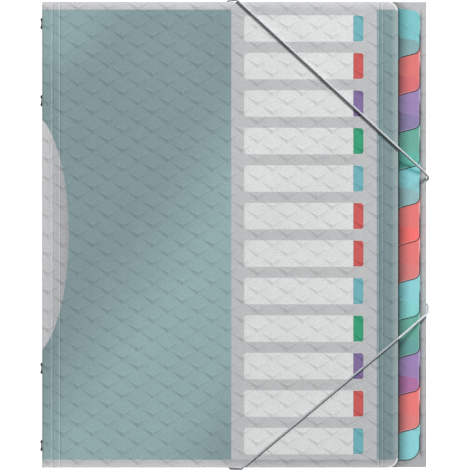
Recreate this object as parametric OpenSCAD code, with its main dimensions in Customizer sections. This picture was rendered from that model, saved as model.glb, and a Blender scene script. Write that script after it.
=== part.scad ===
// Expanding divider file: two covers and a spine folded from one sheet, twelve tabbed
// dividers on a pleated strip inside the spine, and two elastics over the free corners.
// It lies closed on its back cover. X runs from the spine to the tabs, Y up the page,
// and Z through the thickness. The origin is under the middle, at the surface it rests on.

/* [Covers and spine] */
// Width of the back cover, from the outside of the spine to its free edge
cover_w = 253.5; // [250:0.5:270]
// Height of both covers and the spine
cover_h = 307; // [304:0.5:325]
// Thickness of the cover sheet
cover_t = 0.8; // [0.6:0.05:1]
// Outer thickness of the closed file, which is the width of its spine
spine_w = 20; // [18:0.5:26]
// Width of the front cover, which leaves the tabs in view
front_w = 234.5; // [233:0.5:236]
// Radius of the front cover's two free corners
front_corner_r = 6.6; // [1:0.1:8]
// Radius of the back cover's two free corners
back_corner_r = 0.8; // [0.4:0.1:6]

/* [Crease lines] */
// Width of a crease pressed into a cover
crease_w = 0.7; // [0.4:0.05:1]
// Depth of a crease
crease_depth = 0.25; // [0.1:0.05:0.3]
// Distance of the first spine crease from the outside of the spine
spine_crease_1 = 6.4; // [4:0.1:7]
// Distance of the second spine crease from the outside of the spine
spine_crease_2 = 11.6; // [9:0.1:14]
// Distance of the nearer edge crease from the front cover's free edge
edge_crease_1 = 9.8; // [8:0.1:11]
// Distance of the farther edge crease from the front cover's free edge
edge_crease_2 = 13; // [12:0.1:16]

/* [Dividers] */
// Number of dividers, each with one tab
divider_count = 12; // [8:1:12]
// Thickness of a divider
divider_t = 0.4; // [0.3:0.05:0.45]
// Distance of a divider's ends inside the ends of the covers
divider_end_gap = 4.4; // [3.4:0.1:6]
// Distance of a divider's plain edge past the front cover's free edge
divider_reach = 0.4; // [0.2:0.1:1.5]
// Distance of the tab's tip inside the back cover's free edge
tab_inset = 4.3; // [3:0.1:6]
// Height of a tab where it leaves its divider
tab_root_h = 38.4; // [34:0.2:44]
// Distance of the first tab's lower shoulder below the divider's top
first_tab_drop = 33; // [28:0.1:38]
// How far the last tab's lower shoulder would fall below the divider, were it not cut off
last_tab_overrun = 6.85; // [4:0.05:9]
// Rise of a tab's lower shoulder from root to tip
lower_shoulder_rise = 3.7; // [2:0.1:6]
// Fall of a tab's upper shoulder from root to tip
upper_shoulder_fall = 2.3; // [1:0.1:4]
// Radius of a tab's tip corners
tab_tip_r = 5; // [2:0.1:6]
// Radius of the last tab's lower corner, which is the divider's own corner
end_tab_r = 9.2; // [4:0.1:11]
// Radius between a tab and its divider's plain edge
tab_root_r = 2.4; // [0.8:0.1:3]
// Radius of a divider's plain corners
divider_corner_r = 2; // [1:0.1:5]

/* [Pleated gusset] */
// Distance of the pleats' ridges from the outside of the spine
ridge_x = 11.1; // [10:0.1:13]
// Thickness of the pleated film
gusset_t = 0.2; // [0.15:0.01:0.22]
// Thickness of the gusset's flat base strip
gusset_base_t = 0.3; // [0.2:0.05:0.4]
// Width of the divider's edge that is welded onto its pleat
weld_w = 3.4; // [2:0.1:3.6]

/* [Rivets] */
// Radius of a rivet's head
rivet_head_r = 3.85; // [3:0.05:4.5]
// Height of a rivet's head
rivet_head_h = 1.8; // [1.6:0.05:2.2]
// Height of the straight rim under the dome
rivet_rim_h = 0.4; // [0.2:0.05:0.6]
// Radius of a rivet's shank
rivet_shank_r = 1.5; // [1.2:0.05:1.8]
// Radius of a rivet's clinched inner end
rivet_clinch_r = 2.2; // [2:0.05:2.6]
// Thickness of the clinched inner end
rivet_clinch_t = 0.25; // [0.2:0.05:0.3]
// Radius of a washer
washer_r = 3.5; // [3:0.05:4]
// Thickness of a washer
washer_t = 0.4; // [0.3:0.05:0.45]
// Distance of the end rivets from the ends of the gusset that they hold
rivet_end = 10; // [7:0.1:16]
// Distance between the two rivets of a pair
rivet_gap = 50.9; // [30:0.1:70]

/* [Elastics] */
// Diameter of the elastic cord
elastic_d = 1.5; // [1.2:0.05:1.5]
// Gap between the cord and what it passes over
elastic_gap = 0.3; // [0.2:0.02:0.4]
// Radius of the flat on the heads that hold the cords, on which the file rests
rest_flat_r = 2; // [1.5:0.05:2]

/* [Hidden] */
// Clearance round a shank in its hole
hole_clear = 0.05;
// Clearance between parts that pass each other
part_clear = 0.3;
// Clearance of a panel's end from the round fold that it turns on
fold_clear = 0.1;
// Metal left between a head's resting flat and the slot that holds its cord
slot_margin = 0.2;
// Overrun of a cut past the face it starts at
overrun = 1;
// Steps in a rounded corner
corner_steps = 8;
// Steps in a rivet's dome
dome_steps = 12;
// Facets round a cylinder or a revolved shape
round_fn = 64;
// Sides of the cord, and steps in each of its bends
cord_sides = 8;
cord_bend_steps = 5;

// Levels through the thickness, from the surface that the file rests on
back_out_z = rivet_head_h;
back_in_z = back_out_z + cover_t;
front_out_z = back_out_z + spine_w;
front_in_z = front_out_z - cover_t;
divider_pitch = (front_in_z - back_in_z) / (divider_count + 1);

// Places across the width
spine_x = -cover_w / 2;
spine_in_x = spine_x + cover_t;
gusset_in_x = spine_in_x + gusset_base_t;
pleat_ridge_x = spine_x + ridge_x;
front_edge_x = spine_x + front_w;
back_edge_x = cover_w / 2;
divider_left_x = pleat_ridge_x - weld_w;
divider_edge_x = front_edge_x + divider_reach;
tab_tip_x = back_edge_x - tab_inset;
fold_r = cover_t / 2;
fold_x = spine_x + fold_r;
back_fold_z = back_out_z + fold_r;
front_fold_z = front_out_z - fold_r;
panel_start = fold_r + fold_clear;

// Places up the page
cover_top_y = cover_h / 2;
divider_top_y = cover_top_y - divider_end_gap;
divider_h = 2 * divider_top_y;
tab_pitch = (divider_h - first_tab_drop + last_tab_overrun) / (divider_count - 1);
rivet_end_y = divider_top_y - rivet_end;
rivet_ys = [for (side = [-1, 1], drop = [0, rivet_gap]) side * (rivet_end_y - drop)];

// The rivets clamp these thicknesses
spine_grip = cover_t + gusset_base_t + washer_t;
back_grip = cover_t + washer_t;

// The elastics: distances of their rivets behind the back cover from its top, foot and side
top_rivet_drop = 19;
foot_rivet_rise = 19.5;
side_rivet_inset = 17.75;
cord_r = elastic_d / 2;
cord_off = elastic_gap + cord_r;
cord_back_z = back_out_z / 2;
cord_front_z = front_out_z + cord_off;
cord_side_y = cover_top_y + cord_off;
cord_side_x = back_edge_x + cord_off;
cord_bend_r = 1.6;
cord_seat_r = rest_flat_r + slot_margin;
cord_slot_w = elastic_d + elastic_gap;

// Corner points of the two routes, up and over the front and back to the other rivet
top_rivet_1 = [-20, cover_top_y - top_rivet_drop];
top_rivet_2 = [back_edge_x - side_rivet_inset, 25.5];
bottom_rivet_1 = [-18.5, foot_rivet_rise - cover_top_y];
bottom_rivet_2 = [back_edge_x - side_rivet_inset, -38];
cord_rivets = [top_rivet_1, top_rivet_2, bottom_rivet_1, bottom_rivet_2];
top_tab = 4;
bottom_tab = 9;
top_route = [
    [top_rivet_1[0], top_rivet_1[1], cord_back_z],
    [-4, cord_side_y, cord_back_z],
    [1.8, cord_side_y, cord_front_z],
    [front_edge_x + 0.6, 56.7, cord_front_z],
    [tab_tip_x + 0.9, 42.9, divider_top_z(top_tab) + cord_off],
    [cord_side_x, 38.4, back_in_z + 0.9],
    [cord_side_x, 36.4, cord_back_z],
    [top_rivet_2[0], top_rivet_2[1], cord_back_z]
];
bottom_route = [
    [bottom_rivet_1[0], bottom_rivet_1[1], cord_back_z],
    [-2.6, -cord_side_y, cord_back_z],
    [4.2, -cord_side_y, cord_front_z],
    [front_edge_x + 0.6, -68.1, cord_front_z],
    [tab_tip_x + 0.9, -55.3, divider_top_z(bottom_tab) + cord_off],
    [cord_side_x, -51.6, back_in_z + 0.9],
    [cord_side_x, -46.2, cord_back_z],
    [bottom_rivet_2[0], bottom_rivet_2[1], cord_back_z]
];

function divider_name(i) = str("divider_", i < 10 ? "0" : "", i);

// Divider 1 lies under the front cover, and the last one on the back cover
function divider_z(i) = back_in_z + divider_pitch * (divider_count + 1 - i) - divider_t / 2;
function divider_top_z(i) = divider_z(i) + divider_t;

function unit(v) = v / norm(v);

// The stretch of arc that rounds corner b of the line a, b, c to radius r, or less on a short side
function rounded_corner(a, b, c, r, steps) =
    let (
        back = unit(a - b),
        ahead = unit(c - b),
        half = acos(max(-1, min(1, back * ahead))) / 2,
        room = min(norm(a - b), norm(c - b)) * 0.49,
        tangent = min(r / tan(half), room),
        radius = tangent * tan(half),
        centre = b + unit(back + ahead) * radius / sin(half),
        from = b + back * tangent - centre,
        to = b + ahead * tangent - centre,
        sweep = 180 - 2 * half
    )
    [for (k = [0 : steps])
        centre + (sin(sweep * (1 - k / steps)) * from + sin(sweep * k / steps) * to) / sin(sweep)];

// A closed outline from corners written as x, y and radius
function rounded_outline(corners) =
    let (n = len(corners))
    [for (i = [0 : n - 1])
        let (
            a = corners[(i + n - 1) % n],
            b = corners[i],
            c = corners[(i + 1) % n],
            points = b[2] == 0
                ? [[b[0], b[1]]]
                : rounded_corner([a[0], a[1]], [b[0], b[1]], [c[0], c[1]], b[2], corner_steps)
        )
        each points];

// An open route through corner points, each bend rounded to the same radius
function rounded_route(corners, r) =
    let (last = len(corners) - 1)
    [for (i = [0 : last])
        let (
            points = (i == 0 || i == last)
                ? [corners[i]]
                : rounded_corner(corners[i - 1], corners[i], corners[i + 1], r, cord_bend_steps)
        )
        each points];

// Direction of a route at each of its points
function directions(route) =
    let (last = len(route) - 1)
    [for (i = [0 : last]) unit(route[min(i + 1, last)] - route[max(i - 1, 0)])];

// A side direction carried along the route without twisting
function carried_sides(dirs, i = 0, side = [0, 0, 1], found = []) =
    i == len(dirs) ? found
    : let (next = unit(side - (side * dirs[i]) * dirs[i]))
        carried_sides(dirs, i + 1, next, concat(found, [next]));

// A round tube of radius r along a route
module tube(route, r) {
    dirs = directions(route);
    sides = carried_sides(dirs);
    rings = len(route);
    points = [for (i = [0 : rings - 1], k = [0 : cord_sides - 1])
        let (turn = 360 * k / cord_sides)
        route[i] + r * (cos(turn) * sides[i] + sin(turn) * cross(dirs[i], sides[i]))];
    walls = [for (i = [0 : rings - 2], k = [0 : cord_sides - 1])
        let (a = i * cord_sides + k, b = i * cord_sides + (k + 1) % cord_sides)
        [a, a + cord_sides, b + cord_sides, b]];
    start_cap = [for (k = [0 : cord_sides - 1]) k];
    end_cap = [for (k = [cord_sides - 1 : -1 : 0]) (rings - 1) * cord_sides + k];
    polyhedron(points = points, faces = concat(walls, [start_cap, end_cap]), convexity = 6);
}

// An outline in X and Z drawn out along Y, centred on the middle of the page
module along_page(length) {
    rotate([90, 0, 0]) linear_extrude(length, center = true) children();
}

// The V groove of one crease, with its mouth at the origin facing +Z
module crease_cut() {
    along_page(cover_h + 2 * overrun) polygon([
        [-crease_w / 2, 0], [0, -crease_depth], [crease_w / 2, 0],
        [crease_w / 2, overrun], [-crease_w / 2, overrun]
    ]);
}

module back_cover() {
    color([0.72, 0.75, 0.76]) difference() {
        union() {
            translate([0, 0, back_out_z]) linear_extrude(cover_t) polygon(rounded_outline([
                [fold_x, -cover_top_y, 0],
                [back_edge_x, -cover_top_y, back_corner_r],
                [back_edge_x, cover_top_y, back_corner_r],
                [fold_x, cover_top_y, 0]
            ]));
            translate([fold_x, 0, back_fold_z]) along_page(cover_h) circle(r = fold_r, $fn = round_fn);
        }
        for (crease = [spine_crease_1, spine_crease_2])
            translate([spine_x + crease, 0, back_out_z]) rotate([0, 180, 0]) crease_cut();
        for (place = cord_rivets)
            translate([place[0], place[1], back_out_z - overrun])
                cylinder(h = cover_t + 2 * overrun, r = rivet_shank_r + hole_clear, $fn = round_fn);
    }
}

module spine_panel() {
    color([0.68, 0.71, 0.72]) difference() {
        union() {
            translate([spine_x, -cover_top_y, back_fold_z + panel_start])
                cube([cover_t, cover_h, front_fold_z - back_fold_z - panel_start]);
            translate([fold_x, 0, front_fold_z]) along_page(cover_h) circle(r = fold_r, $fn = round_fn);
        }
        for (y = rivet_ys)
            translate([spine_x - overrun, y, back_out_z + spine_w / 2]) rotate([0, 90, 0])
                cylinder(h = cover_t + 2 * overrun, r = rivet_shank_r + hole_clear, $fn = round_fn);
    }
}

module front_cover() {
    creases = [
        spine_x + spine_crease_1, spine_x + spine_crease_2,
        front_edge_x - edge_crease_2, front_edge_x - edge_crease_1
    ];
    color([0.52, 0.61, 0.62]) difference() {
        translate([0, 0, front_in_z]) linear_extrude(cover_t) polygon(rounded_outline([
            [fold_x + panel_start, -cover_top_y, 0],
            [front_edge_x, -cover_top_y, front_corner_r],
            [front_edge_x, cover_top_y, front_corner_r],
            [fold_x + panel_start, cover_top_y, 0]
        ]));
        for (x = creases)
            translate([x, 0, front_out_z]) crease_cut();
    }
}

// One pleat: a level wall under its divider, the slanting wall back to the next valley,
// and the round fold that joins them along the ridge
module pleat(i) {
    top_z = divider_z(i);
    valley_z = i < divider_count ? divider_z(i + 1) : back_in_z + part_clear;
    along_page(divider_h) {
        polygon([
            [spine_in_x, top_z - gusset_t], [pleat_ridge_x, top_z - gusset_t],
            [pleat_ridge_x, top_z], [spine_in_x, top_z]
        ]);
        polygon([
            [gusset_in_x - gusset_base_t / 2, valley_z],
            [pleat_ridge_x, top_z - 2 * gusset_t],
            [pleat_ridge_x, top_z - gusset_t],
            [gusset_in_x - gusset_base_t / 2, valley_z + gusset_t]
        ]);
        translate([pleat_ridge_x, top_z - gusset_t]) circle(r = gusset_t, $fn = round_fn / 4);
    }
}

// The pleats stand on a flat base strip, and are cut away round the washers that hold it
module pleated_gusset() {
    base_low_z = back_in_z + part_clear;
    base_high_z = front_in_z - part_clear;
    washer_room = washer_t + rivet_clinch_t + part_clear;
    color([0.80, 0.82, 0.83]) difference() {
        union() {
            translate([spine_in_x, -divider_top_y, base_low_z])
                cube([gusset_base_t, divider_h, base_high_z - base_low_z]);
            for (i = [1 : divider_count]) pleat(i);
        }
        for (y = rivet_ys) translate([gusset_in_x, y, back_out_z + spine_w / 2]) rotate([0, 90, 0]) {
            cylinder(h = washer_room, r = washer_r + part_clear, $fn = round_fn);
            translate([0, 0, -gusset_base_t - overrun])
                cylinder(h = gusset_base_t + 2 * overrun, r = rivet_shank_r + hole_clear, $fn = round_fn);
        }
    }
}

// Corners of one divider, anticlockwise from the foot of its welded edge. The first tab
// ends at the divider's top edge and the last one at its foot.
function divider_corners(i) =
    let (
        low_y = divider_top_y - first_tab_drop - (i - 1) * tab_pitch,
        high_y = low_y + tab_root_h,
        foot = low_y <= -divider_top_y
            ? [[tab_tip_x, -divider_top_y, end_tab_r]]
            : [
                [divider_edge_x, -divider_top_y, divider_corner_r],
                [divider_edge_x, low_y, tab_root_r],
                [tab_tip_x, low_y + lower_shoulder_rise, tab_tip_r]
            ],
        head = high_y >= divider_top_y
            ? [
                [tab_tip_x, divider_top_y - upper_shoulder_fall, tab_tip_r],
                [divider_edge_x, divider_top_y, 0]
            ]
            : [
                [tab_tip_x, high_y - upper_shoulder_fall, tab_tip_r],
                [divider_edge_x, high_y, tab_root_r],
                [divider_edge_x, divider_top_y, divider_corner_r]
            ]
    )
    concat(
        [[divider_left_x, -divider_top_y, divider_corner_r]],
        foot,
        head,
        [[divider_left_x, divider_top_y, divider_corner_r]]
    );

// Tab colours in turn: cyan, coral, violet, green
tab_colors = [[0.55, 0.80, 0.84], [0.91, 0.52, 0.50], [0.62, 0.54, 0.73], [0.44, 0.69, 0.62]];
color_turns = [0, 1, 2, 3, 0, 1, 1, 0, 3, 2, 1, 0];

module divider(i) {
    color(tab_colors[color_turns[i - 1]]) translate([0, 0, divider_z(i)])
        linear_extrude(divider_t) polygon(rounded_outline(divider_corners(i)));
}

// A rivet on the Z axis, its head standing up from the origin and its shank through
// the grip below. A flat of radius flat_r may cut the crown of the dome.
module rivet(grip, flat_r) {
    dome_h = rivet_head_h - rivet_rim_h;
    dome = [for (k = [0 : dome_steps])
        let (turn = 90 * k / dome_steps)
        [flat_r + (rivet_head_r - flat_r) * cos(turn), rivet_rim_h + dome_h * sin(turn)]];
    crown = flat_r > 0 ? [[0, rivet_head_h]] : [];
    rotate_extrude($fn = round_fn) polygon(concat(
        [[0, -grip - rivet_clinch_t], [rivet_clinch_r, -grip - rivet_clinch_t], [rivet_clinch_r, -grip]],
        [[rivet_shank_r, -grip], [rivet_shank_r, 0], [rivet_head_r, 0]],
        dome,
        crown
    ));
}

// A washer lying against the far side of the grip
module washer(grip) {
    translate([0, 0, -grip]) difference() {
        cylinder(h = washer_t, r = washer_r, $fn = round_fn);
        translate([0, 0, -overrun])
            cylinder(h = washer_t + 2 * overrun, r = rivet_shank_r + hole_clear, $fn = round_fn);
    }
}

// The four places through the spine, heads facing out to -X
module at_spine_rivets() {
    for (y = rivet_ys)
        translate([spine_x, y, back_out_z + spine_w / 2]) rotate([0, -90, 0]) children();
}

// The four places in the back cover, heads facing down, with +X towards the cord's way out
module at_elastic_rivets() {
    exits = [top_route[1], top_route[6], bottom_route[1], bottom_route[6]];
    for (k = [0 : 3])
        translate([cord_rivets[k][0], cord_rivets[k][1], back_out_z])
            rotate([0, 0, atan2(exits[k][1] - cord_rivets[k][1], exits[k][0] - cord_rivets[k][0])])
                rotate([180, 0, 0]) children();
}

module spine_rivets() {
    color([0.78, 0.79, 0.80]) at_spine_rivets() rivet(spine_grip, 0);
}

module spine_washers() {
    color([0.70, 0.71, 0.72]) at_spine_rivets() washer(spine_grip);
}

// Each head has a slot in its side where the end of the cord is held
module elastic_rivets() {
    color([0.78, 0.79, 0.80]) at_elastic_rivets() difference() {
        rivet(back_grip, rest_flat_r);
        translate([cord_seat_r, -cord_slot_w / 2, 0])
            cube([rivet_head_r, cord_slot_w, rivet_head_h + overrun]);
    }
}

module elastic_washers() {
    color([0.70, 0.71, 0.72]) at_elastic_rivets() washer(back_grip);
}

// A cord from seat to seat: its end points are moved out to the ends of the rivets' slots
function seated(corners) =
    let (
        last = len(corners) - 1,
        seat = cord_seat_r + hole_clear,
        start = corners[0] + unit(corners[1] - corners[0]) * seat,
        end = corners[last] + unit(corners[last - 1] - corners[last]) * seat
    )
    concat([start], [for (i = [1 : last - 1]) corners[i]], [end]);

module top_elastic() {
    color([0.75, 0.76, 0.77]) tube(rounded_route(seated(top_route), cord_bend_r), cord_r);
}

module bottom_elastic() {
    color([0.75, 0.76, 0.77]) tube(rounded_route(seated(bottom_route), cord_bend_r), cord_r);
}

back_cover();
spine_panel();
front_cover();
pleated_gusset();
for (i = [1 : divider_count])
    divider(i);
spine_rivets();
spine_washers();
elastic_rivets();
elastic_washers();
top_elastic();
bottom_elastic();
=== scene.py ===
import math

import bmesh
import bpy
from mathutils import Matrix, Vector


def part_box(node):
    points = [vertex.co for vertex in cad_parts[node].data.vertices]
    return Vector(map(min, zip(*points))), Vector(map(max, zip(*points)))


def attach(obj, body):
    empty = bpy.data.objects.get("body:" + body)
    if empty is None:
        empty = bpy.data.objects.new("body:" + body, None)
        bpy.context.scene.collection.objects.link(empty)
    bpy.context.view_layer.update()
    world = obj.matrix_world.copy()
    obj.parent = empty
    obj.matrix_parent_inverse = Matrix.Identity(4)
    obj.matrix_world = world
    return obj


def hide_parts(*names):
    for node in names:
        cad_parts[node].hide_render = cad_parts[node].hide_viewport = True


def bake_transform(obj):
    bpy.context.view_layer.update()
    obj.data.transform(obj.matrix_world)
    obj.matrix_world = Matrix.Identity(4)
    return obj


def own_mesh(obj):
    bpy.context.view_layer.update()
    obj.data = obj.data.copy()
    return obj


# An expanding divider file, lying closed on its back cover. X runs from the spine to the tabs,
# Y up the page and Z through the thickness, in metres.
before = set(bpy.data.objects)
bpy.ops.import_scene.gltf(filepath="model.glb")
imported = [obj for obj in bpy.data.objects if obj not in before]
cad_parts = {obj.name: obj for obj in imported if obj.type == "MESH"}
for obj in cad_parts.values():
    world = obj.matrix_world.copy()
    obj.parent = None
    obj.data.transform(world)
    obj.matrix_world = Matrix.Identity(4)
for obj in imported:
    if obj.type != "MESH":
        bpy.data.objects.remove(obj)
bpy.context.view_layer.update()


# Studio
# A lit white table top, a broad lamp beyond the head of the page and to its right, and a fill
# that is brighter on the lamp's side than on the other. The camera hangs far above the middle
# of the page and looks straight down, so that hardly any side of the file shows.
mm = 0.001
page_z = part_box("front_cover")[1].z
table_width = 30.0
table_drop = 0.2 * mm
table_glow = 0.85
lens_length = 1500.0
sensor_width = 36.0
picture_width = 309.64 * mm
picture_middle = Vector((0.33 * mm, -0.3 * mm, 0.0))
lamp_place = Vector((1.485, 2.576, 2.495))
lamp_width = 1.0
lamp_power = 156.0
lamp_side = Vector((0.5, 0.866, 0.0))
bright_fill = 0.59
dark_fill = 0.042
noise_span = (0.3, 0.7)
table_cloud_w = 40 * mm
table_rough = (0.5, 0.6)
table_white = (0.93, 0.93, 0.93, 1)


def add(tree, kind, inputs=None, **settings):
    """Adds a shader node. Each input is a plain value or another node's output."""
    node = tree.nodes.new(kind)
    for name, value in settings.items():
        setattr(node, name, value)
    for name, value in (inputs or {}).items():
        if isinstance(value, bpy.types.NodeSocket):
            tree.links.new(value, node.inputs[name])
        else:
            node.inputs[name].default_value = value
    return node


def new_surface(name):
    """A material with its node tree and its shader."""
    made = bpy.data.materials.new(name)
    made.use_nodes = True
    return made, made.node_tree, made.node_tree.nodes["Principled BSDF"]


def part_of(tree, value, low, high, to_low=0.0, to_high=1.0, kind="SMOOTHSTEP"):
    """Runs from to_low to to_high while the value runs from low to high, and stays inside them."""
    return add(tree, "ShaderNodeMapRange", {
        "Value": value, "From Min": low, "From Max": high, "To Min": to_low, "To Max": to_high,
    }, interpolation_type=kind).outputs["Result"]


def noise(tree, place, size, detail=2.0):
    """Soft random patches of about that size, mostly within noise_span."""
    return add(tree, "ShaderNodeTexNoise", {
        "Vector": place, "Scale": 1 / size, "Detail": detail,
    }).outputs["Fac"]


camera_height = picture_width / 2 / (sensor_width / 2 / lens_length)
bpy.ops.object.camera_add(location=picture_middle + Vector((0, 0, page_z + camera_height)))
camera = bpy.context.object
camera.name = "studio_camera"
camera.data.lens = lens_length
camera.data.sensor_width = sensor_width
camera.data.clip_end = 2 * camera_height
bpy.context.scene.camera = camera
bpy.context.scene.view_settings.view_transform = "Standard"

bpy.ops.object.light_add(type="AREA", location=lamp_place)
lamp = bpy.context.object
lamp.name = "studio_lamp"
lamp.rotation_euler = lamp_place.to_track_quat("Z", "Y").to_euler()
lamp.data.shape = "DISK"
lamp.data.size = lamp_width
lamp.data.energy = lamp_power

fill = bpy.data.worlds.new("studio_fill")
bpy.context.scene.world = fill
fill.use_nodes = True
way = add(fill.node_tree, "ShaderNodeTexCoord").outputs["Generated"]
toward_lamp = add(fill.node_tree, "ShaderNodeVectorMath", {0: way, 1: lamp_side},
                  operation="DOT_PRODUCT").outputs["Value"]
fill_level = part_of(fill.node_tree, toward_lamp, -1.0, 1.0, dark_fill, bright_fill, "LINEAR")
backdrop = fill.node_tree.nodes["Background"]
backdrop.inputs["Color"].default_value = (1, 1, 1, 1)
fill.node_tree.links.new(fill_level, backdrop.inputs["Strength"])

bpy.ops.mesh.primitive_plane_add(size=table_width, location=(0, 0, -table_drop))
table_top = bpy.context.object
table_top.name = "table_top"
table_surface, tree, shader = new_surface("white_acrylic")
place = add(tree, "ShaderNodeTexCoord").outputs["Object"]
rough = part_of(tree, noise(tree, place, table_cloud_w), *noise_span, *table_rough)
tree.links.new(rough, shader.inputs["Roughness"])
shader.inputs["Base Color"].default_value = table_white
shader.inputs["Emission Color"].default_value = (1, 1, 1, 1)
shader.inputs["Emission Strength"].default_value = table_glow
table_top.data.materials.append(table_surface)


# Back cover
# One panel of clear grey polypropylene film with a pressed pattern of pointed scales, cut
# square. Two creases pressed beside the spine let it lie flat when the file is open.
back_low, back_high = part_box("back_cover")
film_t = back_high.z - back_low.z
spine_x = back_low.x
fold_x = spine_x + film_t / 2
back_fold_z = back_low.z + film_t / 2
fold_reach = 2.6 * mm
back_corner_r = 0.8 * mm
spine_creases = [spine_x + 6.7 * mm, spine_x + 11.7 * mm]
crease_w = 1.1 * mm
crease_depth = 0.15 * mm
crease_steps = 3
crease_margin = 0.25 * mm
rim_soft = 0.12 * mm
scale_w = 19.724 * mm
scale_h = 12.463 * mm
scale_tip = Vector((-103.14 * mm, 146.91 * mm))
scale_arm = 7.9 * mm
scale_slope = 0.844
scale_edge_h = 2.8 * mm
scale_steep = 0.115
scale_roll = 0.18
scale_roll_w = 0.9 * mm
scale_back_w = 9.0 * mm
scale_wear_w = 18 * mm
scale_wear = (0.7, 1.2)
grain_w = 0.9 * mm
grain_h = 0.03 * mm
grain_speck = (0.92, 1.08)
cloud_w = 45 * mm
film_cloud = 0.03
film_rough = (0.38, 0.52)
# Painted highlight along the lit side of each crease.
crease_pale = 0.1
crease_pale_w = 0.55 * mm
crease_pale_off = 0.4 * mm
clear_grey = (186, 187, 189)
clear_grey_low = (176, 178, 181)
crease_highlight_white = (226, 230, 230)
front_low, front_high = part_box("front_cover")
front_corner_r = 6.6 * mm
free_x = front_high.x
tab_tip_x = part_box("divider_01")[1].x
# Painted shadow beside the front cover's edge, and painted shadow beside the tabs' tips.
cover_shade = 0.5
cover_shade_w = 8.6 * mm
cover_shade_fall = 1.4
cover_shade_in = 2.0 * mm
cover_line = 0.55
cover_line_w = 1.5 * mm
tip_shade = 0.68
tip_shade_w = 3.0 * mm
tip_shade_fall = 2.0
tip_shade_in = 0.3 * mm
tip_shade_ends = (3 * mm, 12 * mm)
match_reach = 0.02 * mm
corner_steps = 8
rim_steps = 2
smooth_angle = math.radians(60)
flat_weight = 80


def printed(red, green, blue):
    """A colour as it is seen, from 0 to 255, as the light that it gives back."""
    return tuple((part / 255 / 1.055 + 0.0521) ** 2.4 for part in (red, green, blue)) + (1.0,)


def number(tree, operation, *values):
    """Works out one number from others."""
    return add(tree, "ShaderNodeMath", dict(enumerate(values)), operation=operation).outputs[0]


def axes_of(tree, vector):
    """The X, Y and Z of a place or a direction."""
    return add(tree, "ShaderNodeSeparateXYZ", {"Vector": vector}).outputs


def both(tree, *masks):
    """The part that all the masks share."""
    shared = masks[0]
    for mask in masks[1:]:
        shared = number(tree, "MULTIPLY", shared, mask)
    return shared


def scaled(tree, colour, tone):
    """A colour made darker or paler by a tone."""
    return add(tree, "ShaderNodeVectorMath", {0: colour, "Scale": tone},
               operation="SCALE").outputs["Vector"]


def raise_relief(tree, shader, height):
    """Gives a surface its relief, with the height in metres."""
    bump = add(tree, "ShaderNodeBump", {"Height": height, "Distance": 1.0})
    tree.links.new(bump.outputs["Normal"], shader.inputs["Normal"])


def scale_lift(tree, place):
    """Height of the pressed pattern: rows of scales, each with a steep V edge, highest at its tip."""
    split = axes_of(tree, place)
    half_w = scale_w / 2
    wear = part_of(tree, noise(tree, place, scale_wear_w), *noise_span, *scale_wear, "LINEAR")
    lift = 0.0
    for row_shift in (0.0, 0.5):
        tip_x = scale_tip.x + row_shift * scale_w
        tip_y = scale_tip.y + row_shift * scale_h
        off = number(tree, "WRAP", number(tree, "SUBTRACT", split["X"], tip_x), half_w, -half_w)
        across = number(tree, "ABSOLUTE", off)
        rim_y = number(tree, "MULTIPLY_ADD", across, scale_slope, tip_y)
        above = number(tree, "FLOORED_MODULO", number(tree, "SUBTRACT", split["Y"], rim_y), scale_h)
        edge_h = part_of(tree, across, 0.0, scale_arm, scale_edge_h, 0.0, "LINEAR")
        past_edge = number(tree, "SUBTRACT", above, edge_h)
        climb = number(tree, "MULTIPLY", number(tree, "MINIMUM", above, edge_h), scale_steep)
        roll = part_of(tree, past_edge, 0.0, scale_roll_w, 1.0, 1 - scale_roll)
        back = part_of(tree, past_edge, 0.0, scale_back_w, 1.0, 0.0, "LINEAR")
        scale = number(tree, "MULTIPLY", climb, number(tree, "MULTIPLY", roll, back))
        lift = number(tree, "ADD", lift, scale)
    return number(tree, "MULTIPLY", lift, wear)


def film_surface(name, paint, see_through=0.0, pressed=True):
    """Satin film. paint gives its colour at a place, and a pressed film has the scales."""
    made, tree, shader = new_surface(name)
    place = add(tree, "ShaderNodeTexCoord").outputs["Object"]
    grain = noise(tree, place, grain_w)
    patches = noise(tree, place, cloud_w)
    speck = part_of(tree, grain, *noise_span, *grain_speck, "LINEAR")
    tone = part_of(tree, patches, *noise_span, 1 - film_cloud, 1 + film_cloud, "LINEAR")
    shade = number(tree, "MULTIPLY", speck, tone)
    tree.links.new(scaled(tree, paint(tree, place), shade), shader.inputs["Base Color"])
    tree.links.new(part_of(tree, grain, *noise_span, *film_rough), shader.inputs["Roughness"])
    shader.inputs["Alpha"].default_value = 1.0 - see_through
    height = number(tree, "MULTIPLY", grain, grain_h)
    if pressed:
        height = number(tree, "ADD", height, scale_lift(tree, place))
    raise_relief(tree, shader, height)
    return made


def inked(tree, mask, colour, under):
    """Lays a colour over what is under it where the mask is 1."""
    return add(tree, "ShaderNodeMix", {"Factor": mask, "A": under, "B": colour},
               data_type="RGBA").outputs[2]


def crease_highlight(tree, x, creases, under):
    """Paints a white highlight along one side of each crease, on its lit wall."""
    pale = 0.0
    for crease in creases:
        off = number(tree, "ABSOLUTE", number(tree, "SUBTRACT", x, crease - crease_pale_off))
        line = part_of(tree, off, crease_pale_w / 2, crease_pale_w, crease_pale, 0.0)
        pale = number(tree, "MAXIMUM", pale, line)
    return inked(tree, pale, printed(*crease_highlight_white), under)


def beyond(tree, value, limit):
    """How far a value has gone past a limit, and 0 before it."""
    return number(tree, "MAXIMUM", number(tree, "SUBTRACT", value, limit), 0.0)


def distance(tree, across, up):
    """How far off a place is that lies so far across and so far up."""
    squares = number(tree, "ADD", number(tree, "POWER", across, 2.0),
                     number(tree, "POWER", up, 2.0))
    return number(tree, "SQRT", squares)


def past_cover(tree, x, y):
    """How far a place lies outside the front cover's free edge, ends and round corners."""
    side = beyond(tree, x, free_x - front_corner_r)
    end = beyond(tree, number(tree, "ABSOLUTE", y), front_high.y - front_corner_r)
    return number(tree, "SUBTRACT", distance(tree, side, end), front_corner_r)


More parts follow.
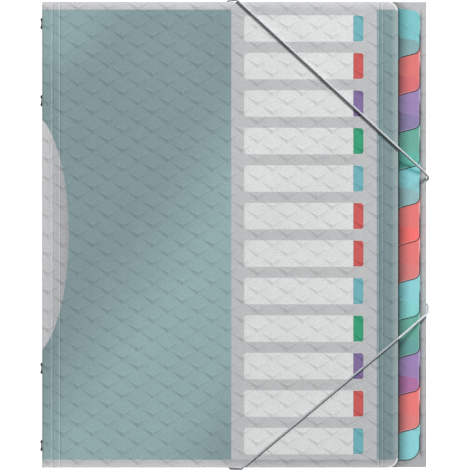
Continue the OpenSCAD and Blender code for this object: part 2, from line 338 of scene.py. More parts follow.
def cover_shadow(tree, outside, strength):
    """Painted shadow of the front cover on what lies beside it: deep at its edge, with a darker line
    close to it, and soon fading.
    """
    fade = number(tree, "POWER",
                  part_of(tree, outside, 0.0, cover_shade_w, 1.0, 0.0, "LINEAR"),
                  cover_shade_fall)
    reach = number(tree, "MULTIPLY", fade, part_of(tree, outside, -cover_shade_in, 0.0))
    soft = number(tree, "MULTIPLY_ADD", reach, -strength, 1.0)
    line = both(tree, part_of(tree, outside, cover_line_w / 4, cover_line_w / 2),
                part_of(tree, outside, cover_line_w / 2, cover_line_w, 1.0, 0.0))
    return number(tree, "MULTIPLY", soft, number(tree, "MULTIPLY_ADD", line, cover_line - 1, 1.0))


def back_paint(tree, place):
    """The unprinted back cover, darker toward its foot, with painted shadow beside the front cover
    and beside the tabs' tips.
    """
    split = axes_of(tree, place)
    low = part_of(tree, split["Y"], back_low.y, back_high.y, 1.0, 0.0, "LINEAR")
    colour = inked(tree, low, printed(*clear_grey_low), printed(*clear_grey))
    colour = crease_highlight(tree, split["X"], spine_creases, colour)
    beside_cover = cover_shadow(tree, past_cover(tree, split["X"], split["Y"]), cover_shade)
    # Painted shadow beside the tabs' tips, along the run of the tabs.
    past_tip = number(tree, "SUBTRACT", split["X"], tab_tip_x)
    tip_fade = number(tree, "POWER",
                      part_of(tree, past_tip, 0.0, tip_shade_w, 1.0, 0.0, "LINEAR"),
                      tip_shade_fall)
    from_end = number(tree, "SUBTRACT", front_high.y, number(tree, "ABSOLUTE", split["Y"]))
    by_tabs = both(tree, tip_fade, part_of(tree, from_end, *tip_shade_ends),
                   part_of(tree, past_tip, -tip_shade_in, 0.0))
    beside_tabs = number(tree, "MULTIPLY_ADD", by_tabs, -tip_shade, 1.0)
    return scaled(tree, colour, number(tree, "MULTIPLY", beside_cover, beside_tabs))


def pick(piece, kind, test):
    """Selects only the vertices or the edges whose middle passes the test."""
    bpy.ops.mesh.select_mode(type=kind)
    bpy.ops.mesh.select_all(action="DESELECT")
    mesh = bmesh.from_edit_mesh(piece.data)
    for part in mesh.verts if kind == "VERT" else mesh.edges:
        corners = [part] if kind == "VERT" else part.verts
        middle = sum((corner.co for corner in corners), Vector()) / len(corners)
        part.select_set(bool(test(middle)))
    mesh.select_flush_mode()
    bmesh.update_edit_mesh(piece.data)


def near(value, target):
    """Whether a measure is the wanted one, give or take match_reach."""
    return abs(value - target) < match_reach


def start_flat(name, low, high, facing):
    """Starts a piece as the side that faces up, down or left of the box from low to high."""
    turns = {"up": 0.0, "down": math.pi, "left": -math.pi / 2}
    middle = (low + high) / 2
    if facing == "up":
        middle.z = high.z
    elif facing == "down":
        middle.z = low.z
    else:
        middle.x = low.x
    bpy.ops.object.select_all(action="DESELECT")
    bpy.ops.mesh.primitive_plane_add(size=1, rotation=(0, turns[facing], 0))
    piece = bpy.context.object
    piece.name = name
    bpy.ops.object.transform_apply(rotation=True)
    bpy.ops.object.mode_set(mode="EDIT")
    bpy.ops.transform.resize(value=high - low, center_override=(0, 0, 0))
    bpy.ops.transform.translate(value=middle)
    return piece


def score(x):
    """Cuts the whole mesh along the page at x."""
    bpy.ops.mesh.select_all(action="SELECT")
    bpy.ops.mesh.bisect(plane_co=(x, 0, 0), plane_no=(1, 0, 0))


def press_crease(piece, x, sink):
    """Presses a rounded groove along the page at x. sink is how far its middle moves in Z."""
    reach = crease_w / 2
    for side in (-1, 1):
        score(x + side * (reach + crease_margin))
    for step in range(-crease_steps, crease_steps + 1):
        share = step / crease_steps
        line = x + share * reach
        score(line)
        pick(piece, "VERT", lambda at: near(at.x, line))
        depth = sink * math.cos(share * math.pi / 2) ** 2
        bpy.ops.transform.translate(value=(0, 0, depth))


def finish_with(piece, kind, **settings):
    """Adds a modifier to a piece in object mode and applies it."""
    made = piece.modifiers.new(kind.lower(), kind)
    for name, value in settings.items():
        setattr(made, name, value)
    bpy.ops.object.select_all(action="DESELECT")
    piece.select_set(True)
    bpy.context.view_layer.objects.active = piece
    bpy.ops.object.modifier_apply(modifier=made.name)


def thicken_sheet(piece, soft=True):
    """Gives a flat face the film's thickness and takes the sharpness off its cut edges."""
    bpy.ops.object.mode_set(mode="OBJECT")
    finish_with(piece, "SOLIDIFY", thickness=film_t, offset=-1, use_even_offset=True)
    if soft:
        finish_with(piece, "BEVEL", width=rim_soft, segments=rim_steps, limit_method="ANGLE",
                    angle_limit=smooth_angle)
    bpy.ops.object.shade_smooth_by_angle(angle=smooth_angle)
    finish_with(piece, "WEIGHTED_NORMAL", keep_sharp=True, weight=flat_weight)


def cut_sheet(name, low, high, facing, corner_r, creases, sink):
    """A sheet of film with two rounded corners at its free edge and creases along the page."""
    piece = start_flat(name, low, high, facing)
    pick(piece, "VERT", lambda at: near(at.x, high.x))
    bpy.ops.mesh.bevel(offset=corner_r, segments=corner_steps, affect="VERTICES")
    for x in creases:
        press_crease(piece, x, sink)
    thicken_sheet(piece)
    return piece


clear_film = film_surface("clear_grey_film", back_paint)
sheet_low = Vector((fold_x + fold_reach, back_low.y, back_low.z))
back_sheet = cut_sheet("back_cover_sheet", sheet_low, back_high, "down", back_corner_r,
                       spine_creases, crease_depth)
back_sheet.data.materials.append(clear_film)
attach(back_sheet, "back_cover")
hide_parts("back_cover")


# Spine
# The same sheet of film runs on round the back of the file. It is 20 mm wide and carries the
# four big rivets. Two strips of the sheet, rounded by the fold, join it to the covers.
spine_low, spine_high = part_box("spine_panel")
front_fold_z = front_high.z - film_t / 2
fold_round = 0.9 * mm

spine_sheet = start_flat(
    "spine_sheet",
    Vector((spine_x, spine_low.y, back_fold_z + fold_reach)),
    Vector((spine_x + film_t, spine_high.y, front_fold_z - fold_reach)),
    "left",
)
thicken_sheet(spine_sheet)
spine_sheet.data.materials.append(clear_film)
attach(spine_sheet, "spine")
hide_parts("spine_panel")


def fold_strip(name, outer_z, facing, wall):
    """The strip of sheet that turns from a cover into the spine. wall is its run up the spine."""
    low = Vector((spine_x, back_low.y, outer_z))
    high = Vector((fold_x + fold_reach, back_high.y, outer_z))
    piece = start_flat(name, low, high, facing)
    pick(piece, "EDGE", lambda at: near(at.x, spine_x))
    bpy.ops.mesh.extrude_region_move(TRANSFORM_OT_translate={"value": (0, 0, wall)})
    pick(piece, "EDGE", lambda at: near(at.x, spine_x) and near(at.z, outer_z))
    bpy.ops.mesh.bevel(offset=fold_round, segments=corner_steps, affect="EDGES")
    thicken_sheet(piece, soft=False)
    return piece


back_fold = fold_strip("back_fold_strip", back_low.z, "down", film_t / 2 + fold_reach)
back_fold.data.materials.append(clear_film)
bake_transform(back_fold)


# Front cover
# The third panel of the sheet, cut shorter so that the tabs show. Its free corners are round,
# and it has four creases. It is printed behind: grey-green fields with a clear bow for the
# thumb at the spine, and a column of white label windows, each with a chip in its tab's colour.
edge_creases = [free_x - 12.8 * mm, free_x - 9.85 * mm]
print_top_margin = 5.36 * mm
print_foot_margin = 5.2 * mm
field_end_x = -2.15 * mm
strip_start_x = free_x - 14.0 * mm
bow_middle_x = spine_x - 8.6 * mm
bow_reach = 26.1 * mm
bow_half_h = 80.3 * mm
label_count = 12
label_pitch = 24.71 * mm
label_first_y = 135.73 * mm
label_left = 6.42 * mm
label_right = 85.2 * mm
label_half_h = 8.73 * mm
label_corner_r = 2.1 * mm
chip_left = 78.3 * mm
chip_rim = 0.2 * mm
chip_corner_r = 1.9 * mm
chip_line_w = 0.5 * mm
chip_line_tone = 0.8
print_soft = 0.25 * mm
bow_soft = 0.01
# Painted sheen across the printed field.
sheen_start = Vector((-103.1 * mm, 131.5 * mm))
sheen_run = Vector((89.6 * mm, 131.8 * mm))
band_rise = (1.22, 2.1)
band_fall = (2.6, 3.3)
band_sheen = 0.95
corner_across = (-0.15, 0.35)
corner_down = (0.0, 0.35)
corner_sheen = 0.65
# Painted highlights along the rims and a painted crescent highlight inside the round corners.
rim_glow_w = 5.6 * mm
free_glow_w = 4.6 * mm
corner_glow_w = 1.9 * mm
corner_glow_fade = 1.0 * mm
top_glow = 0.45
foot_glow = 0.38
free_glow = 0.25
# A darker line painted along the fold, as painted shade where the sheet turns down.
fold_line_w = 1.3 * mm
fold_line_strength = 0.4
field_colour = (127, 149, 152)
field_sheen = (146, 173, 175)
fold_line_colour = (105, 115, 114)
bow_pale = (200, 201, 203)
bow_dark = (158, 160, 163)
bow_shade_w = 17.5 * mm
strip_colour = (127, 151, 154)
strip_low_colour = (120, 142, 145)
strip_low_y = 0.0
foot_dark = (160, 161, 164)
foot_shade_x = (-29 * mm, 10 * mm)
label_white = (216, 218, 217)
highlight_white = (232, 234, 235)
chip_colours = {
    "cyan": (109, 175, 184),
    "coral": (201, 87, 86),
    "violet": (126, 105, 155),
    "green": (45, 156, 115),
}
tab_order = ["cyan", "coral", "violet", "green", "cyan", "coral",
             "coral", "cyan", "green", "violet", "coral", "cyan"]


def below(tree, value, limit):
    """1 where the value is below the limit and 0 above it, with a soft step."""
    return part_of(tree, value, limit - print_soft / 2, limit + print_soft / 2, 1.0, 0.0)


def past(tree, value, limit):
    """1 where the value is above the limit and 0 below it, with a soft step."""
    return part_of(tree, value, limit - print_soft / 2, limit + print_soft / 2)


def round_block(tree, x, y, low_x, high_x, half_h, corner_r):
    """1 inside a block with round corners whose middle height is y = 0."""
    half_w = (high_x - low_x) / 2
    from_middle = number(tree, "ABSOLUTE", number(tree, "SUBTRACT", x, (low_x + high_x) / 2))
    over_x = beyond(tree, from_middle, half_w - corner_r)
    over_y = beyond(tree, number(tree, "ABSOLUTE", y), half_h - corner_r)
    return below(tree, distance(tree, over_x, over_y), corner_r)


def sheen_mask(tree, x, y):
    """Painted sheen on the field: the paler corner and the broad pale band that cross it on a slant.
    """
    across = number(tree, "DIVIDE", number(tree, "SUBTRACT", x, sheen_start.x), sheen_run.x)
    down = number(tree, "DIVIDE", number(tree, "SUBTRACT", sheen_start.y, y), sheen_run.y)
    slant = number(tree, "ADD", across, down)
    band = both(tree, part_of(tree, slant, *band_rise),
                part_of(tree, slant, *band_fall, band_sheen, 0.0))
    corner = both(tree, part_of(tree, slant, *corner_across, corner_sheen, 0.0),
                  part_of(tree, down, *corner_down, 1.0, 0.0))
    return number(tree, "MAXIMUM", band, corner)


def rim_highlights(tree, x, y, under):
    """Paints highlights that pale the sheet toward its rims and most of all along its round corners.
    """
    inside = number(tree, "MULTIPLY", past_cover(tree, x, y), -1.0)
    from_free = number(tree, "SUBTRACT", free_x, x)
    from_top = number(tree, "SUBTRACT", front_high.y, y)
    from_foot = number(tree, "SUBTRACT", y, front_low.y)
    glow = 0.0
    for way_in, strength, width in ((from_free, free_glow, free_glow_w),
                                    (from_top, top_glow, rim_glow_w),
                                    (from_foot, foot_glow, rim_glow_w)):
        near_rim = part_of(tree, way_in, 0.0, width, strength, 0.0, "LINEAR")
        glow = number(tree, "MAXIMUM", glow, near_rim)
    from_corner = number(tree, "MAXIMUM", from_free, number(tree, "MINIMUM", from_top, from_foot))
    crescent = both(tree, part_of(tree, inside, 0.0, corner_glow_w, 1.0, 0.0),
                    part_of(tree, from_corner, front_corner_r - corner_glow_fade,
                            front_corner_r, 1.0, 0.0))
    return inked(tree, number(tree, "MAXIMUM", glow, crescent), printed(*highlight_white), under)


def cover_print(tree, place):
    """The printed fields, labels and chips of the front cover."""
    x, y, z = axes_of(tree, place)
    in_page = both(tree, below(tree, y, front_high.y - print_top_margin),
                   past(tree, y, front_low.y + print_foot_margin))
    bow_x = number(tree, "DIVIDE", number(tree, "SUBTRACT", x, bow_middle_x), bow_reach)
    bow_y = number(tree, "DIVIDE", y, bow_half_h)
    bow = distance(tree, bow_x, bow_y)
    field = both(tree, in_page, below(tree, x, field_end_x),
                 part_of(tree, bow, 1 - bow_soft, 1 + bow_soft),
                 past(tree, z, front_fold_z - film_t))
    strip = both(tree, in_page, past(tree, x, strip_start_x))
    down = number(tree, "SUBTRACT", label_first_y + label_pitch / 2, y)
    row_y = number(tree, "SUBTRACT", number(tree, "FLOORED_MODULO", down, label_pitch),
                   label_pitch / 2)
    label = both(tree, in_page, past(tree, down, 0.0),
                 round_block(tree, x, row_y, label_left, label_right, label_half_h,
                             label_corner_r))
    chip = both(tree, label, past(tree, x, chip_left),
                round_block(tree, x, row_y, chip_left - chip_corner_r, label_right - chip_rim,
                            label_half_h - chip_rim, chip_corner_r))
    chip_inside = both(tree, past(tree, x, chip_left + chip_line_w),
                       round_block(tree, x, row_y, chip_left, label_right - chip_rim - chip_line_w,
                                   label_half_h - chip_rim - chip_line_w, chip_corner_r))
    row = number(tree, "DIVIDE", down, label_pitch * label_count)
    wheel = add(tree, "ShaderNodeValToRGB", {"Fac": row})
    wheel.color_ramp.interpolation = "CONSTANT"
    stops = wheel.color_ramp.elements
    stops.remove(stops[-1])
    for step, colour in enumerate(tab_order):
        stop = stops.new(step / label_count) if step else stops[0]
        stop.color = printed(*chip_colours[colour])
    field_ink = inked(tree, sheen_mask(tree, x, y), printed(*field_sheen), printed(*field_colour))
    # Painted shade along the fold.
    fold_line = part_of(tree, x, spine_x + fold_line_w / 4, spine_x + fold_line_w,
                        fold_line_strength, 0.0)
    field_ink = inked(tree, fold_line, printed(*fold_line_colour), field_ink)
    bow_ink = inked(tree, part_of(tree, x, spine_x, spine_x + bow_shade_w, 0.0, 1.0, "LINEAR"),
                    printed(*bow_dark), printed(*bow_pale))
    bow_place = both(tree, in_page, below(tree, x, field_end_x))
    foot_tone = both(tree, below(tree, y, front_low.y + print_foot_margin),
                     part_of(tree, x, *foot_shade_x))
    strip_ink = inked(tree, part_of(tree, y, strip_low_y, front_high.y, 1.0, 0.0, "LINEAR"),
                      printed(*strip_low_colour), printed(*strip_colour))
    rim_shade = part_of(tree, chip_inside, 0.0, 1.0, chip_line_tone, 1.0)
    chip_ink = scaled(tree, wheel.outputs["Color"], rim_shade)
    colour = inked(tree, bow_place, bow_ink, printed(*clear_grey))
    colour = inked(tree, foot_tone, printed(*foot_dark), colour)
    colour = inked(tree, field, field_ink, colour)
    colour = inked(tree, strip, strip_ink, colour)
    colour = inked(tree, label, printed(*label_white), colour)
    colour = inked(tree, chip, chip_ink, colour)
    colour = rim_highlights(tree, x, y, colour)
    return crease_highlight(tree, x, spine_creases + edge_creases[:1], colour)


printed_film = film_surface("printed_film", cover_print)
sheet_low = Vector((fold_x + fold_reach, front_low.y, front_low.z))
front_sheet = cut_sheet("front_cover_sheet", sheet_low, front_high, "up", front_corner_r,
                        spine_creases + edge_creases, -crease_depth)
front_sheet.data.materials.append(printed_film)
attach(front_sheet, "front_cover")
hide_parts("front_cover")

front_fold = fold_strip("front_fold_strip", front_high.z, "up", -film_t / 2 - fold_reach)
front_fold.data.materials.append(printed_film)
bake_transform(front_fold)


# Pleated gusset
# A strip of thin clear film folded into twelve pleats and fixed inside the spine by the
# rivets. Each divider is welded onto one pleat, and the pleats open like an accordion.
gusset_low, gusset_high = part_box("pleated_gusset")
gusset_t = 0.2 * mm
gusset_base_t = 0.3 * mm
gusset_x = gusset_low.x + gusset_base_t
ridge_x = gusset_high.x - gusset_t
weld_gap = 0.02 * mm
base_gap = 0.3 * mm
base_rim = 0.05 * mm
pleat_wall_share = 0.9
pleat_round_share = 0.8
pleat_round_steps = 3
pleat_smooth_angle = math.radians(50)
gusset_see_through = 0.35
divider_names = [f"divider_{step + 1:02d}" for step in range(label_count)]
gusset_grey = (205, 208, 210)


def make_pleat(name, top_z, valley_z):
    """One pleat: level under its divider, round its ridge and slanting back to the valley."""
    low = Vector((gusset_x, gusset_low.y, top_z))
    high = Vector((ridge_x, gusset_high.y, top_z))
    piece = start_flat(name, low, high, "up")
    fold = 2 * gusset_t
    pick(piece, "EDGE", lambda at: near(at.x, ridge_x))
    bpy.ops.mesh.extrude_region_move(TRANSFORM_OT_translate={"value": (0, 0, -fold)})
    back = (gusset_x - ridge_x, 0, valley_z - top_z + fold)
    bpy.ops.mesh.extrude_region_move(TRANSFORM_OT_translate={"value": back})
    pick(piece, "EDGE", lambda at: near(at.x, ridge_x) and near(at.y, 0.0))
    bpy.ops.mesh.bevel(offset=gusset_t * pleat_round_share, segments=pleat_round_steps,
                       affect="EDGES")
    bpy.ops.object.mode_set(mode="OBJECT")
    finish_with(piece, "SOLIDIFY", thickness=gusset_t * pleat_wall_share, offset=-1)
    bpy.ops.object.shade_smooth_by_angle(angle=pleat_smooth_angle)
    return piece


def plain_paint(colour):
    """Paint of one colour, to be clouded and speckled by the film."""
    return lambda tree, place: add(tree, "ShaderNodeCombineXYZ", dict(zip("XYZ", colour))).outputs[0]


gusset_film = film_surface("gusset_film", plain_paint(printed(*gusset_grey)),
                           see_through=gusset_see_through, pressed=False)
base_strip = start_flat(
    "gusset_base",
    gusset_low,
    Vector((gusset_x, gusset_high.y, front_low.z - base_gap)),
    "left",
)
bpy.ops.object.mode_set(mode="OBJECT")
finish_with(base_strip, "SOLIDIFY", thickness=gusset_base_t, offset=-1)
finish_with(base_strip, "BEVEL", width=base_rim, segments=1, limit_method="ANGLE")
base_strip.data.materials.append(gusset_film)
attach(base_strip, "spine")
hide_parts("pleated_gusset")

first_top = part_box(divider_names[0])[0].z - weld_gap
last_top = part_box(divider_names[-1])[0].z - weld_gap
pleat_pitch = (first_top - last_top) / (label_count - 1)
pleats = [make_pleat("pleat_01", first_top, first_top - pleat_pitch)]
for step in range(1, label_count - 1):
    pleat = pleats[0].copy()
    pleat.data = pleats[0].data.copy()
    pleat.name = f"pleat_{step + 1:02d}"
    bpy.context.collection.objects.link(pleat)
    for vertex in pleat.data.vertices:
        vertex.co.z -= step * pleat_pitch
    pleats.append(pleat)
pleats.append(make_pleat(f"pleat_{label_count:02d}", last_top, gusset_low.z))
for pleat, divider_name in zip(pleats, divider_names):
    pleat.data.materials.append(gusset_film)
    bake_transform(pleat)


# Dividers
# Twelve sheets of tinted see-through film, each die-cut with one tab a step lower than the
# last. Their welded edges lie on the pleats. Each tab lets the one under it show through. Its
# cut rim carries a painted shadow line with a painted highlight just inside it, painted
# shadow falls on it beside the front cover, and painted shade darkens the tabs toward the
# head of the page, the first tab most.
divider_t = 0.4 * mm
divider_reach = 0.4 * mm
divider_edge_x = free_x + divider_reach
first_tab_drop = 33 * mm
tab_pitch = 24.732 * mm
tab_root_h = 38.4 * mm
lower_shoulder_rise = 3.7 * mm
upper_shoulder_fall = 2.3 * mm
tab_tip_r = 5.0 * mm
end_tab_r = 9.2 * mm
tab_root_r = 2.4 * mm
divider_corner_r = 2.0 * mm
cut_rim_w = 1.2 * mm
# The dark line along the cut rim is painted shadow; the pale line inside it is a painted highlight.
dark_rim = (0.42, 0.62)
dark_rim_tone = 0.14
pale_rim_start = (0.05, 0.2)
pale_rim_end = (0.3, 0.45)
pale_rim_strength = 0.6
flat_facing = (0.3, 0.7)
tab_cloud_w = 30 * mm
tab_cloud = (0.98, 1.02)
tab_rough = (0.3, 0.42)
tab_smooth_angle = math.radians(40)
# Painted shadow beside the front cover, and painted shade toward the head and on the first tab.
root_shade = 0.8
head_tone = 0.77
first_tab_tone = 0.82
first_tab_y = (112 * mm, 135 * mm)
tab_films = {
    "cyan": ((0.79, 0.94, 1.0), (0.41, 1.0, 1.0), 0.27),
    "coral": ((1.0, 0.30, 0.285), (1.0, 0.63, 0.63), 0.46),
    "violet": ((0.63, 0.26, 0.63), (0.68, 0.82, 0.94), 0.33),
    "green": ((0.23, 0.55, 0.47), (0.57, 0.90, 0.81), 0.45),
}


def tab_surface(name, body, tint, share):
    """Film that sends back some light of its own colour and tints what shows through it."""
    made, tree, shader = new_surface(name)
    around = add(tree, "ShaderNodeTexCoord").outputs
    place = around["Object"]
    split = axes_of(tree, place)
    outside = past_cover(tree, split["X"], split["Y"])
    cut = add(tree, "ShaderNodeAttribute", attribute_name="rim").outputs["Fac"]
    facing = axes_of(tree, around["Normal"])["Z"]
    on_face = part_of(tree, number(tree, "ABSOLUTE", facing), *flat_facing)
    # Painted shadow line along the cut rim of the flat faces; it also darkens what shows through.
    lined = both(tree, on_face, part_of(tree, cut, *dark_rim))
    dark_line = part_of(tree, lined, 0.0, 1.0, 1.0, dark_rim_tone, "LINEAR")
    # Painted highlight just inside that line.
    pale_line = both(tree, part_of(tree, cut, *pale_rim_start),
                     part_of(tree, cut, *pale_rim_end, pale_rim_strength, 0.0))
    # Painted shadow beside the front cover, the painted rim line, and painted shade toward the head.
    shade = both(tree, cover_shadow(tree, outside, root_shade), dark_line,
                 part_of(tree, split["Y"], front_low.y, front_high.y, 1.0, head_tone, "LINEAR"),
                 part_of(tree, split["Y"], *first_tab_y, 1.0, first_tab_tone),
                 part_of(tree, noise(tree, place, tab_cloud_w), *noise_span, *tab_cloud, "LINEAR"))
    own = inked(tree, pale_line, printed(*highlight_white), scaled(tree, body, shade))
    tree.links.new(own, shader.inputs["Base Color"])
    grain = noise(tree, place, grain_w)
    tree.links.new(part_of(tree, grain, *noise_span, *tab_rough), shader.inputs["Roughness"])
    behind = add(tree, "ShaderNodeBsdfTransparent", {"Color": scaled(tree, tint, dark_line)})
    film = add(tree, "ShaderNodeMixShader", {0: share, 1: behind.outputs[0], 2: shader.outputs[0]})
    lamp_ray = add(tree, "ShaderNodeLightPath").outputs["Is Shadow Ray"]
    clear = add(tree, "ShaderNodeBsdfTransparent")
    lit = add(tree, "ShaderNodeMixShader", {0: lamp_ray, 1: film.outputs[0], 2: clear.outputs[0]})
    tree.links.new(lit.outputs[0], tree.nodes["Material Output"].inputs["Surface"])
    return made


def round_off(piece, x, y, radius, slope=0.0):
    """Rounds one corner of a flat sheet. slope is how far its two sides are off square."""
    pick(piece, "VERT", lambda at: near(at.x, x) and near(at.y, y))
    reach = radius / math.tan(math.pi / 4 + math.atan(slope) / 2)
    bpy.ops.mesh.bevel(offset=reach, segments=corner_steps, affect="VERTICES")


def cut_divider(name, step):
    """One divider: a sheet, its tab drawn out of its edge, and its corners rounded."""
    low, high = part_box(name)
    tip_x = high.x
    foot_y = high.y - first_tab_drop - step * tab_pitch
    head_y = foot_y + tab_root_h
    first, last = head_y > high.y, foot_y < low.y
    tab_run = tip_x - divider_edge_x
    piece = start_flat(name + "_sheet", low, Vector((divider_edge_x, high.y, high.z)), "up")
    for y in (foot_y, head_y):
        bpy.ops.mesh.select_all(action="SELECT")
        bpy.ops.mesh.bisect(plane_co=(0, y, 0), plane_no=(0, 1, 0))
    pick(piece, "EDGE", lambda at: near(at.x, divider_edge_x) and foot_y < at.y < head_y)
    bpy.ops.mesh.extrude_region_move(TRANSFORM_OT_translate={"value": (tab_run, 0, 0)})
    tip_low = low.y if last else foot_y
    tip_high = high.y if first else head_y
    if not last:
        pick(piece, "VERT", lambda at: near(at.x, tip_x) and near(at.y, tip_low))
        bpy.ops.transform.translate(value=(0, lower_shoulder_rise, 0))
        tip_low += lower_shoulder_rise
    pick(piece, "VERT", lambda at: near(at.x, tip_x) and near(at.y, tip_high))
    bpy.ops.transform.translate(value=(0, -upper_shoulder_fall, 0))
    tip_high -= upper_shoulder_fall
    lower_slope = lower_shoulder_rise / tab_run
    upper_slope = upper_shoulder_fall / tab_run
    round_off(piece, tip_x, tip_high, tab_tip_r, upper_slope)
    if last:
        round_off(piece, tip_x, tip_low, end_tab_r)
    else:
        round_off(piece, tip_x, tip_low, tab_tip_r, lower_slope)
        round_off(piece, divider_edge_x, foot_y, tab_root_r, lower_slope)
        round_off(piece, divider_edge_x, low.y, divider_corner_r)
    if not first:
        round_off(piece, divider_edge_x, head_y, tab_root_r, upper_slope)
        round_off(piece, divider_edge_x, high.y, divider_corner_r)
    for y in (low.y, high.y):
        round_off(piece, low.x, y, divider_corner_r)
    bpy.ops.mesh.select_all(action="SELECT")
    bpy.ops.mesh.inset(thickness=cut_rim_w, use_even_offset=True)
    bpy.ops.object.mode_set(mode="OBJECT")
    mesh = bmesh.new()
    mesh.from_mesh(piece.data)
    rim = mesh.verts.layers.float.new("rim")
    shoulder_y = tip_high - tab_tip_r
    for vertex in mesh.verts:
        on_upper_shoulder = vertex.co.x > divider_edge_x and vertex.co.y > shoulder_y
        vertex[rim] = 1.0 if vertex.is_boundary and not on_upper_shoulder else 0.0
    mesh.to_mesh(piece.data)
    mesh.free()
    finish_with(piece, "SOLIDIFY", thickness=divider_t, offset=-1)
    bpy.ops.object.shade_smooth_by_angle(angle=tab_smooth_angle)
    return piece


tab_surfaces = {name: tab_surface(f"{name}_film", *film) for name, film in tab_films.items()}
for step, (divider_name, colour) in enumerate(zip(divider_names, tab_order)):
    divider = cut_divider(divider_name, step)
    divider.data.materials.append(tab_surfaces[colour])
    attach(divider, divider_name)
    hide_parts(divider_name)


# Rivets and washers
# Domed chromed heads clamp the gusset to the spine, and four more hold the ends of the
# elastics behind the back cover. Plain washers spread the clinched ends inside.
scratch_w = 0.4 * mm
scratch_h = 0.004 * mm
scratch_detail = 4.0
metal_rough = (0.12, 0.26)
# The heads' sides that face up and down the page are painted dark, as a painted reflection.
metal_bright = (0.93, 0.94, 0.95, 1)
metal_dark = (0.015, 0.015, 0.018, 1)
dark_facing = (0.18, 0.42)

metal, tree, shader = new_surface("bright_metal")
around = add(tree, "ShaderNodeTexCoord").outputs
scratches = noise(tree, around["Object"], scratch_w, scratch_detail)
# Painted dark reflection on the sides facing up and down the page.
facing = axes_of(tree, around["Normal"])["Y"]
dark_reflection = part_of(tree, number(tree, "ABSOLUTE", facing), *dark_facing)
tree.links.new(inked(tree, dark_reflection, metal_dark, metal_bright), shader.inputs["Base Color"])
shader.inputs["Metallic"].default_value = 1.0
tree.links.new(part_of(tree, scratches, *noise_span, *metal_rough), shader.inputs["Roughness"])
raise_relief(tree, shader, number(tree, "MULTIPLY", scratches, scratch_h))
for node_name in ("spine_rivets", "spine_washers", "elastic_rivets", "elastic_washers"):
    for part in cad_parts[node_name].material_slots:
        part.material = metal


# Elastics
# Two lengths of braided elastic cord, 1.5 mm thick, held by rivets behind the back cover. Each
# runs over one end of the file, across a free corner of the front and back round its side.
cord_r = 0.75 * mm
cord_gap = 0.3 * mm
cord_bend_r = 1.6 * mm
cord_sides = 14
cord_step = 1.5 * mm
cord_seat = 2.25 * mm
cord_colour = (187, 192, 196)
cord_under_shade = 0.42
under_facing = (-0.7, -0.1)
cord_bend_steps = 8
cord_bend_room = 0.49
cord_tab_out = 0.9 * mm
cord_edge_out = 0.6 * mm
cord_wrap_up = 0.9 * mm
thread_lay = 5.2
thread_starts = 6
thread_h = 0.08 * mm
thread_span = (0.3, 1.0)
thread_tone = (0.72, 1.05)
thread_rough = (0.6, 0.36)
fuzz_w = 0.5 * mm
fuzz_tone = (0.94, 1.06)
behind_z = back_low.z / 2
over_z = front_high.z + cord_gap + cord_r
end_y = back_high.y + cord_gap + cord_r
side_x = back_high.x + cord_gap + cord_r
tab_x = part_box("divider_01")[1].x + cord_tab_out
edge_x = free_x + cord_edge_out
wrap_z = back_high.z + cord_wrap_up
top_tab_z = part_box("divider_04")[1].z + cord_gap + cord_r
foot_tab_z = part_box("divider_09")[1].z + cord_gap + cord_r
routes = {
    "top_elastic": [
        (-20 * mm, 134.5 * mm, behind_z), (-4 * mm, end_y, behind_z),
        (1.8 * mm, end_y, over_z), (edge_x, 56.7 * mm, over_z),
        (tab_x, 42.9 * mm, top_tab_z), (side_x, 38.4 * mm, wrap_z),
        (side_x, 36.4 * mm, behind_z), (109 * mm, 25.5 * mm, behind_z),
    ],
    "bottom_elastic": [
        (-18.5 * mm, -134 * mm, behind_z), (-2.6 * mm, -end_y, behind_z),
        (4.2 * mm, -end_y, over_z), (edge_x, -68.1 * mm, over_z),
        (tab_x, -55.3 * mm, foot_tab_z), (side_x, -51.6 * mm, wrap_z),
        (side_x, -46.2 * mm, behind_z), (109 * mm, -38 * mm, behind_z),
    ],
}


def rounded_bend(before, corner, after):
    """Points round one bend of the cord."""
    back, ahead = (before - corner).normalized(), (after - corner).normalized()
    half = back.angle(ahead) / 2
    room = cord_bend_room * min((before - corner).length, (after - corner).length)
    tangent = min(cord_bend_r / math.tan(half), room)
    radius = tangent * math.tan(half)
    middle = corner + (back + ahead).normalized() * radius / math.sin(half)
    first, last = corner + back * tangent - middle, corner + ahead * tangent - middle
    sweep = math.pi - 2 * half
    shares = [step / cord_bend_steps for step in range(cord_bend_steps + 1)]
    return [middle + (math.sin(sweep * (1 - share)) * first + math.sin(sweep * share) * last)
            / math.sin(sweep) for share in shares]


def cord_line(corners):
    """The middle line of a cord: seated in its rivets, round its bends, in short steps."""
    corners = [Vector(corner) for corner in corners]
    corners[0] += (corners[1] - corners[0]).normalized() * cord_seat
    corners[-1] += (corners[-2] - corners[-1]).normalized() * cord_seat
    bends = [corners[0]]
    for at in range(1, len(corners) - 1):
        bends += rounded_bend(*corners[at - 1:at + 2])
    bends.append(corners[-1])
    line = [bends[0]]
    for here, there in zip(bends, bends[1:]):
        steps = max(1, round((there - here).length / cord_step))
        line += [here.lerp(there, k / steps) for k in range(1, steps + 1)]
    return line


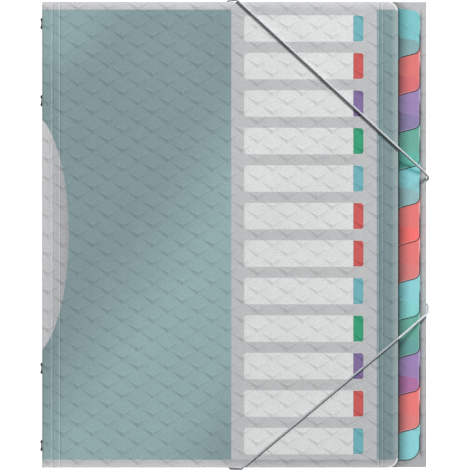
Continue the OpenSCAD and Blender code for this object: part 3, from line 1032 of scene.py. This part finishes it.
def cord_tube(name, corners):
    """A round cord along its line, with its length and its turn as its map."""
    line = cord_line(corners)
    mesh = bmesh.new()
    cord_map = mesh.loops.layers.uv.new("cord")
    side = Vector((0, 0, 1))
    rings, runs, run = [], [], 0.0
    for at, here in enumerate(line):
        ahead = (line[min(at + 1, len(line) - 1)] - line[max(at - 1, 0)]).normalized()
        side = (side - side.dot(ahead) * ahead).normalized()
        other = ahead.cross(side)
        turns = [math.tau * k / cord_sides for k in range(cord_sides)]
        rings.append([mesh.verts.new(here + cord_r * (math.cos(t) * side + math.sin(t) * other))
                      for t in turns])
        run += (here - line[at - 1]).length if at else 0.0
        runs.append(run)
    for at in range(len(rings) - 1):
        for k in range(cord_sides):
            after = (k + 1) % cord_sides
            face = mesh.faces.new((rings[at][k], rings[at][after],
                                   rings[at + 1][after], rings[at + 1][k]))
            face.smooth = True
            places = ((runs[at], k), (runs[at], k + 1), (runs[at + 1], k + 1), (runs[at + 1], k))
            for corner, (length, turn) in zip(face.loops, places):
                corner[cord_map].uv = (length / mm, turn / cord_sides)
    mesh.faces.new(list(reversed(rings[0])))
    mesh.faces.new(rings[-1])
    made = bpy.data.meshes.new(name)
    mesh.to_mesh(made)
    mesh.free()
    piece = bpy.data.objects.new(name, made)
    bpy.context.collection.objects.link(piece)
    return piece


braid, tree, shader = new_surface("braided_elastic")
split = axes_of(tree, add(tree, "ShaderNodeUVMap", uv_map="cord").outputs["UV"])
threads = []
for hand in (-1, 1):
    lay = number(tree, "MULTIPLY_ADD", split["X"], hand * thread_lay,
                 number(tree, "MULTIPLY", split["Y"], thread_starts * math.tau))
    threads.append(number(tree, "MULTIPLY_ADD", number(tree, "SINE", lay), 0.5, 0.5))
crown = number(tree, "MAXIMUM", *threads)
around = add(tree, "ShaderNodeTexCoord").outputs
facing = axes_of(tree, around["Normal"])["Y"]
fuzz = noise(tree, around["Object"], fuzz_w)
# Painted shade: the braid is darker between its threads and on its underside.
shade = both(tree, part_of(tree, crown, *thread_span, *thread_tone),
             part_of(tree, fuzz, *noise_span, *fuzz_tone, "LINEAR"),
             part_of(tree, facing, *under_facing, cord_under_shade, 1.0))
tree.links.new(scaled(tree, printed(*cord_colour)[:3], shade), shader.inputs["Base Color"])
tree.links.new(part_of(tree, crown, *thread_span, *thread_rough), shader.inputs["Roughness"])
raise_relief(tree, shader, number(tree, "MULTIPLY", crown, thread_h))
for name, corners in routes.items():
    elastic = cord_tube(f"{name}_cord", corners)
    elastic.data.materials.append(braid)
    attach(elastic, "back_cover")
    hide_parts(name)
    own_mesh(elastic)
